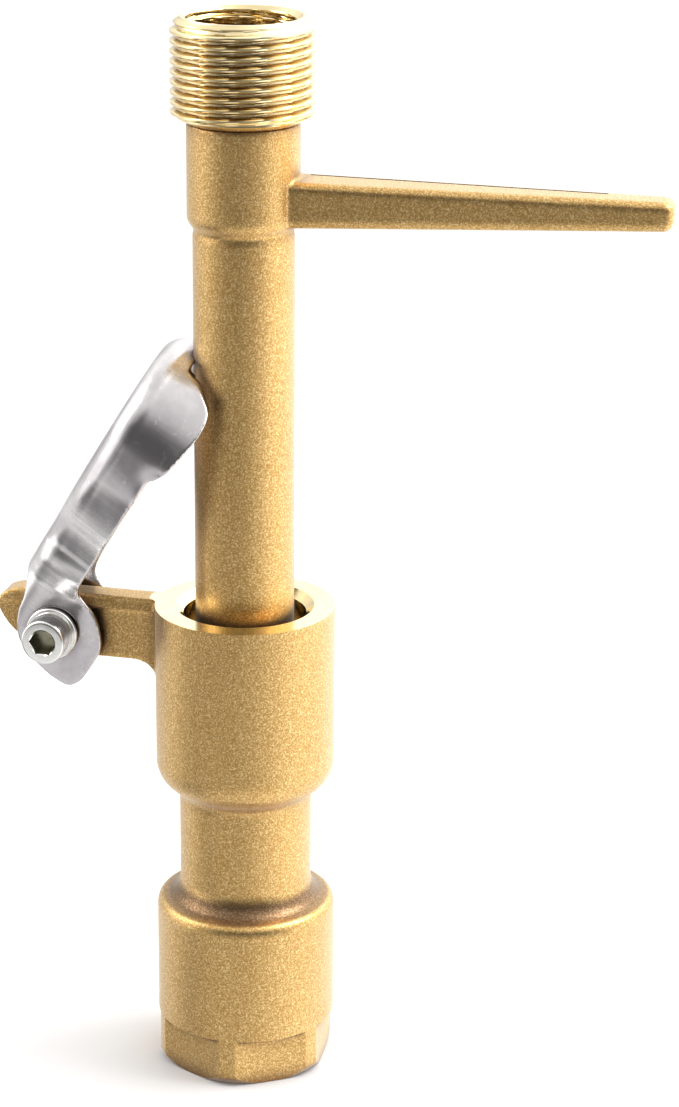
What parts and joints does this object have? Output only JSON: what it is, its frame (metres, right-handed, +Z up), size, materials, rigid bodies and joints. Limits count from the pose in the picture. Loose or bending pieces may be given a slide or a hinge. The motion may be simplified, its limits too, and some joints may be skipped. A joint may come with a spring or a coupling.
{
  "type": "hose bib",
  "caption": "Brass garden quick-coupling valve with its key pushed in, a side handle, a threaded hose outlet and a hinged stainless cover.",
  "frame": {"origin": "centre of the base's bottom face, where the inlet thread opens", "axes": "+Z up along the valve's axis, -X along the hinge arm, +X roughly along the key's handle"},
  "size_m": [0.1257, 0.0392, 0.204],
  "materials": {
    "brass": "sand cast and shot blasted, machined at the thread and rims",
    "steel": "drawn and tumbled stainless",
    "rubber": "moulded"
  },
  "bodies": {
    "valve": {"valve_body": "brass", "spring_guide": "brass", "guide_retaining_ring": "steel", "return_spring": "steel"},
    "cover": {"cover": "steel", "hinge_screw": "steel", "hinge_washer_front": "steel", "hinge_washer_rear": "steel", "hinge_nut": "steel"},
    "key_carrier": {"key_o_ring": "rubber"},
    "key": {"key_body": "brass"},
    "poppet": {"poppet_stem": "brass", "poppet_seal": "rubber", "poppet_cap": "brass"}
  },
  "joints": [
    {"name": "cover_hinge", "type": "hinge", "parent": "valve", "child": "cover", "pos_m": [-0.0361, 0, 0.0862], "axis": [0, -1, 0], "range_deg": [0, 24]},
    {"name": "key_lift", "type": "slide", "parent": "valve", "child": "key_carrier", "axis": [0, 0, 1], "range_m": [0, 0.005]},
    {"name": "key_turn", "type": "hinge", "parent": "key_carrier", "child": "key", "pos_m": [0, 0, 0], "axis": [0, 0, 1], "range_deg": [0, 90]},
    {"name": "poppet_slide", "type": "slide", "parent": "valve", "child": "poppet", "axis": [0, 0, 1], "range_m": [0, 0.005], "deforming": ["return_spring"]}
  ],
  "couplings": [
    {"joint": "key_lift", "follows": "key_turn", "m_per_rad": 0.0031831},
    {"joint": "poppet_slide", "follows": "key_turn", "m_per_rad": 0.0031831}
  ]
}
